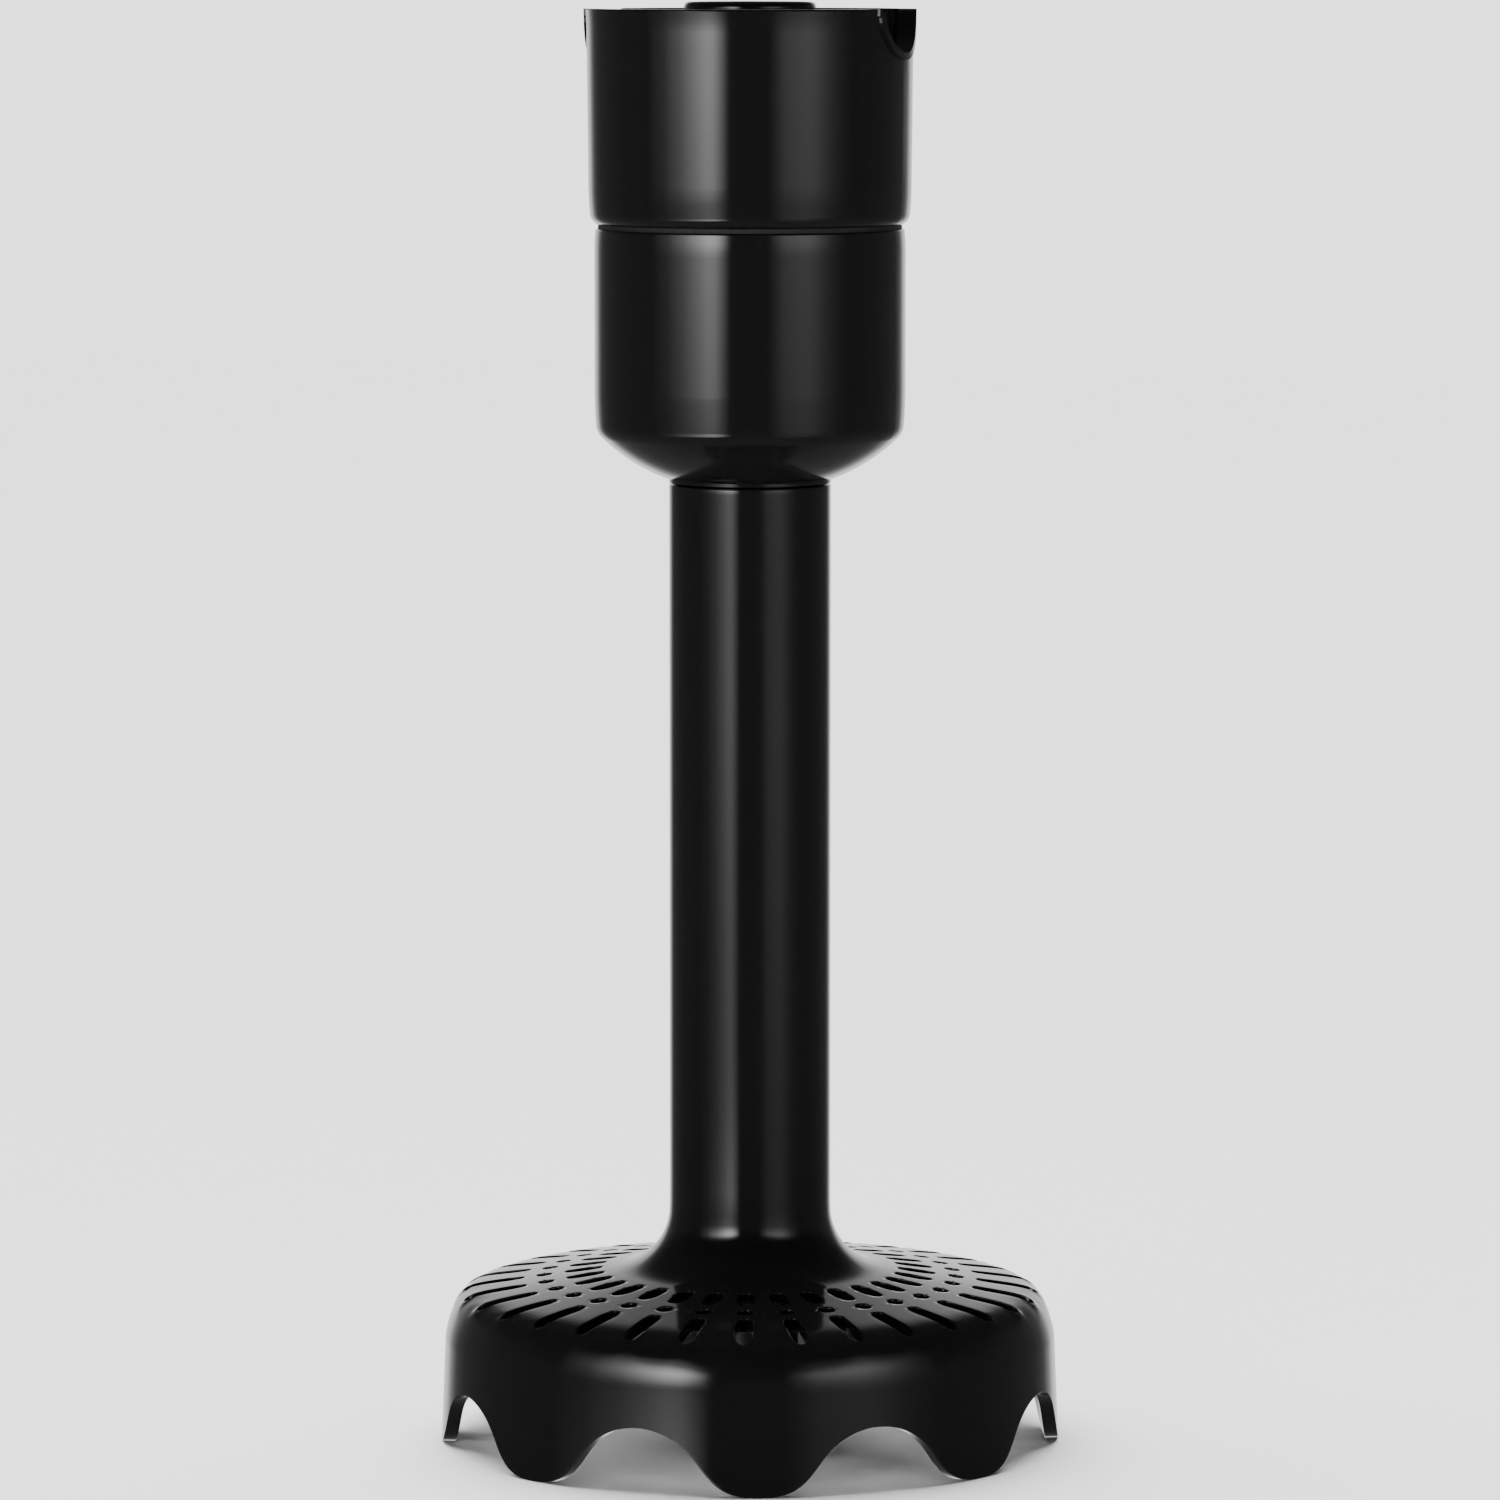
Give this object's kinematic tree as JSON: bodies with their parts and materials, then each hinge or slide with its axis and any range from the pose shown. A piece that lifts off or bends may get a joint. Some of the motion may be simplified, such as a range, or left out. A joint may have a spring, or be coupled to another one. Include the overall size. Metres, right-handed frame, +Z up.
{
  "type": "potato masher attachment for a stick blender",
  "caption": "Black plastic masher attachment for a stick blender: motor collar, planetary gearbox, long tube and a perforated bell with scalloped skirt over a turning paddle.",
  "frame": {"origin": "centre of the circle that the foot's lobes stand on", "axes": "+Z up along the drive axis, the collar's two release notches on +X and -X"},
  "size_m": [0.0984, 0.0984, 0.23],
  "materials": {
    "gloss_black_plastic": "gloss moulded",
    "black_paddle_plastic": "satin moulded",
    "black_inner_plastic": "satin moulded",
    "natural_gear_plastic": "natural acetal",
    "coupling_plastic": "glass-filled nylon",
    "ground_steel": "ground",
    "gear_steel": "oiled",
    "zinc_screw": "bright zinc",
    "sintered_bronze": "oil-soaked sintered",
    "black_rubber": "matt"
  },
  "bodies": {
    "gearbox": {"motor_collar": "gloss_black_plastic", "gearbox_housing": "gloss_black_plastic", "gearbox_lid": "black_inner_plastic", "ring_gear": "natural_gear_plastic", "input_bearing": "ground_steel", "bearing_clip": "gear_steel", "collar_screws": "zinc_screw", "collar_seal": "black_rubber", "output_bush": "sintered_bronze", "gearbox_shaft_seal": "black_rubber", "thrust_washer": "ground_steel"},
    "output": {"output_carrier": "gear_steel", "output_carrier_pins": "ground_steel", "drive_shaft": "ground_steel", "cross_pin": "ground_steel"},
    "planet_2_a": {"planet_2_a": "natural_gear_plastic"},
    "planet_2_b": {"planet_2_b": "natural_gear_plastic"},
    "planet_2_c": {"planet_2_c": "natural_gear_plastic"},
    "carrier_1": {"carrier_1": "gear_steel", "carrier_1_pins": "ground_steel", "sun_gear_2": "gear_steel"},
    "planet_1_a": {"planet_1_a": "natural_gear_plastic"},
    "planet_1_b": {"planet_1_b": "natural_gear_plastic"},
    "planet_1_c": {"planet_1_c": "natural_gear_plastic"},
    "input": {"drive_coupling": "coupling_plastic", "input_shaft": "ground_steel", "sun_gear_1": "gear_steel"},
    "foot": {"masher_foot": "gloss_black_plastic", "foot_bush": "sintered_bronze", "foot_shaft_seal": "black_rubber"},
    "paddle": {"paddle": "black_paddle_plastic"}
  },
  "joints": [
    {"name": "output_spin", "type": "hinge", "parent": "gearbox", "child": "output", "pos_m": [0, 0, 0.15], "axis": [0, 0, 1], "continuous": true},
    {"name": "carrier_1_spin", "type": "hinge", "parent": "gearbox", "child": "carrier_1", "pos_m": [0, 0, 0.1763], "axis": [0, 0, 1], "continuous": true},
    {"name": "input_spin", "type": "hinge", "parent": "gearbox", "child": "input", "pos_m": [0, 0, 0.191], "axis": [0, 0, 1], "continuous": true},
    {"name": "planet_2_a_spin", "type": "hinge", "parent": "output", "child": "planet_2_a", "pos_m": [0.0108, 0, 0.1706], "axis": [0, 0, 1], "continuous": true},
    {"name": "planet_2_b_spin", "type": "hinge", "parent": "output", "child": "planet_2_b", "pos_m": [-0.0054, 0.00935, 0.1706], "axis": [0, 0, 1], "continuous": true},
    {"name": "planet_2_c_spin", "type": "hinge", "parent": "output", "child": "planet_2_c", "pos_m": [-0.0054, -0.00935, 0.1706], "axis": [0, 0, 1], "continuous": true},
    {"name": "planet_1_a_spin", "type": "hinge", "parent": "carrier_1", "child": "planet_1_a", "pos_m": [0.0108, 0, 0.1817], "axis": [0, 0, 1], "continuous": true},
    {"name": "planet_1_b_spin", "type": "hinge", "parent": "carrier_1", "child": "planet_1_b", "pos_m": [-0.0054, 0.00935, 0.1817], "axis": [0, 0, 1], "continuous": true},
    {"name": "planet_1_c_spin", "type": "hinge", "parent": "carrier_1", "child": "planet_1_c", "pos_m": [-0.0054, -0.00935, 0.1817], "axis": [0, 0, 1], "continuous": true},
    {"name": "foot_lock", "type": "hinge", "parent": "gearbox", "child": "foot", "pos_m": [0, 0, 0.14], "axis": [0, 0, 1], "range_deg": [0, 35]},
    {"name": "paddle_lock", "type": "hinge", "parent": "output", "child": "paddle", "pos_m": [0, 0, 0.0165], "axis": [0, 0, 1], "range_deg": [0, 35]}
  ],
  "couplings": [
    {"joint": "carrier_1_spin", "follows": "output_spin", "ratio": 4.5},
    {"joint": "input_spin", "follows": "output_spin", "ratio": 20.25},
    {"joint": "planet_2_a_spin", "follows": "output_spin", "ratio": -2.8},
    {"joint": "planet_2_b_spin", "follows": "output_spin", "ratio": -2.8},
    {"joint": "planet_2_c_spin", "follows": "output_spin", "ratio": -2.8},
    {"joint": "planet_1_a_spin", "follows": "output_spin", "ratio": -12.6},
    {"joint": "planet_1_b_spin", "follows": "output_spin", "ratio": -12.6},
    {"joint": "planet_1_c_spin", "follows": "output_spin", "ratio": -12.6}
  ]
}
